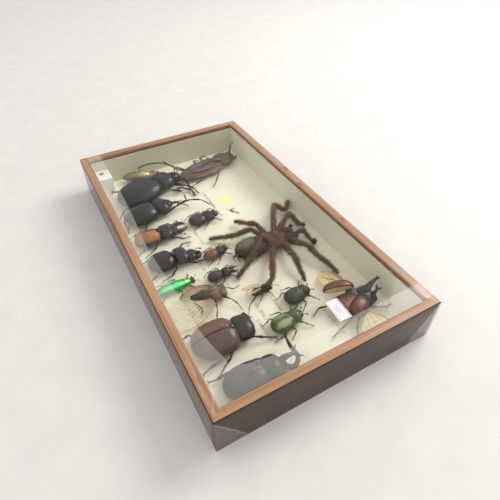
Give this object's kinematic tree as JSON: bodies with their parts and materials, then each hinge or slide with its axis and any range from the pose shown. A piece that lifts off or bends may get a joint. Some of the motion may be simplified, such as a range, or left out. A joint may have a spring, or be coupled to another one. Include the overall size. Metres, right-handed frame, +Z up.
{
  "type": "glazed insect display case",
  "caption": "Shallow wooden display case with a glass front, sealed in clear film, holding pinned dried beetles, a cicada, a water bug and a tarantula on a cream card floor.",
  "frame": {"origin": "centre of the face that the case lies on, under the film", "axes": "+X to the right along the short front edge, +Y back along the long side, +Z up through the glass"},
  "size_m": [0.2102, 0.3724, 0.0454],
  "materials": {
    "frame_wood": "thin clear finish over straight-grained orange-brown softwood",
    "nail_steel": "plain bright steel, dulled",
    "pane_glass": "clear float glass with a faint veil of dust",
    "back_fibreboard": "brown hardboard, smooth side out",
    "pin_foam": "fine closed-cell foam",
    "floor_paper": "matt cream card, lightly stained",
    "liner_paper": "matt greyish cream card",
    "moth_card": "matt white card",
    "moth_crystal": "waxy white",
    "label_paper": "matt white paper",
    "wrap_film": "clear glossy shrink film with fine creases",
    "pin_steel": "bright",
    "spider_fur": "short brown hair, matt",
    "shell_black": "satin black shell, worn and dusty",
    "shell_brown": "satin red-brown shell",
    "shell_orange": "satin orange-brown wing cases",
    "shell_green": "metallic green",
    "shell_olive": "satin dark green",
    "bug_brown": "matt to satin grey-brown",
    "wing_cream": "thin veined membrane",
    "wing_amber": "thin amber membrane"
  },
  "bodies": {
    "root": {"front_rail": "frame_wood", "back_rail": "frame_wood", "left_rail": "frame_wood", "right_rail": "frame_wood", "corner_nails": "nail_steel", "glass_pane": "pane_glass", "back_board": "back_fibreboard", "back_brads": "nail_steel", "pinning_board": "pin_foam", "floor_card": "floor_paper", "liner_front": "liner_paper", "liner_back": "liner_paper", "liner_left": "liner_paper", "liner_right": "liner_paper", "mothball_box": "moth_card", "mothball": "moth_crystal", "paper_strips": "label_paper", "price_label": "label_paper", "film_upper": "wrap_film", "film_lower": "wrap_film", "specimen_pins": "pin_steel", "tarantula": "spider_fur", "giant_water_bug": "bug_brown", "great_black_beetle": "shell_black", "long_armed_beetle": "shell_black", "banded_jewel_beetle": "shell_green", "green_jewel_beetle": "shell_green", "orange_stag_beetle": "shell_orange", "black_stag_beetle": "shell_black", "dark_red_beetle": "shell_brown", "small_orange_beetle": "shell_orange", "small_dark_beetle": "shell_brown", "cicada": "bug_brown", "cicada_wings": "wing_cream", "brown_rhino_beetle": "shell_brown", "horned_rhino_beetle": "shell_black", "red_rhino_beetle": "shell_brown", "red_rhino_wings": "wing_amber", "wasp": "bug_brown", "wasp_wings": "wing_amber", "dark_green_chafer": "shell_olive", "light_green_chafer": "shell_olive", "loose_leg": "bug_brown"}
  },
  "joints": []
}
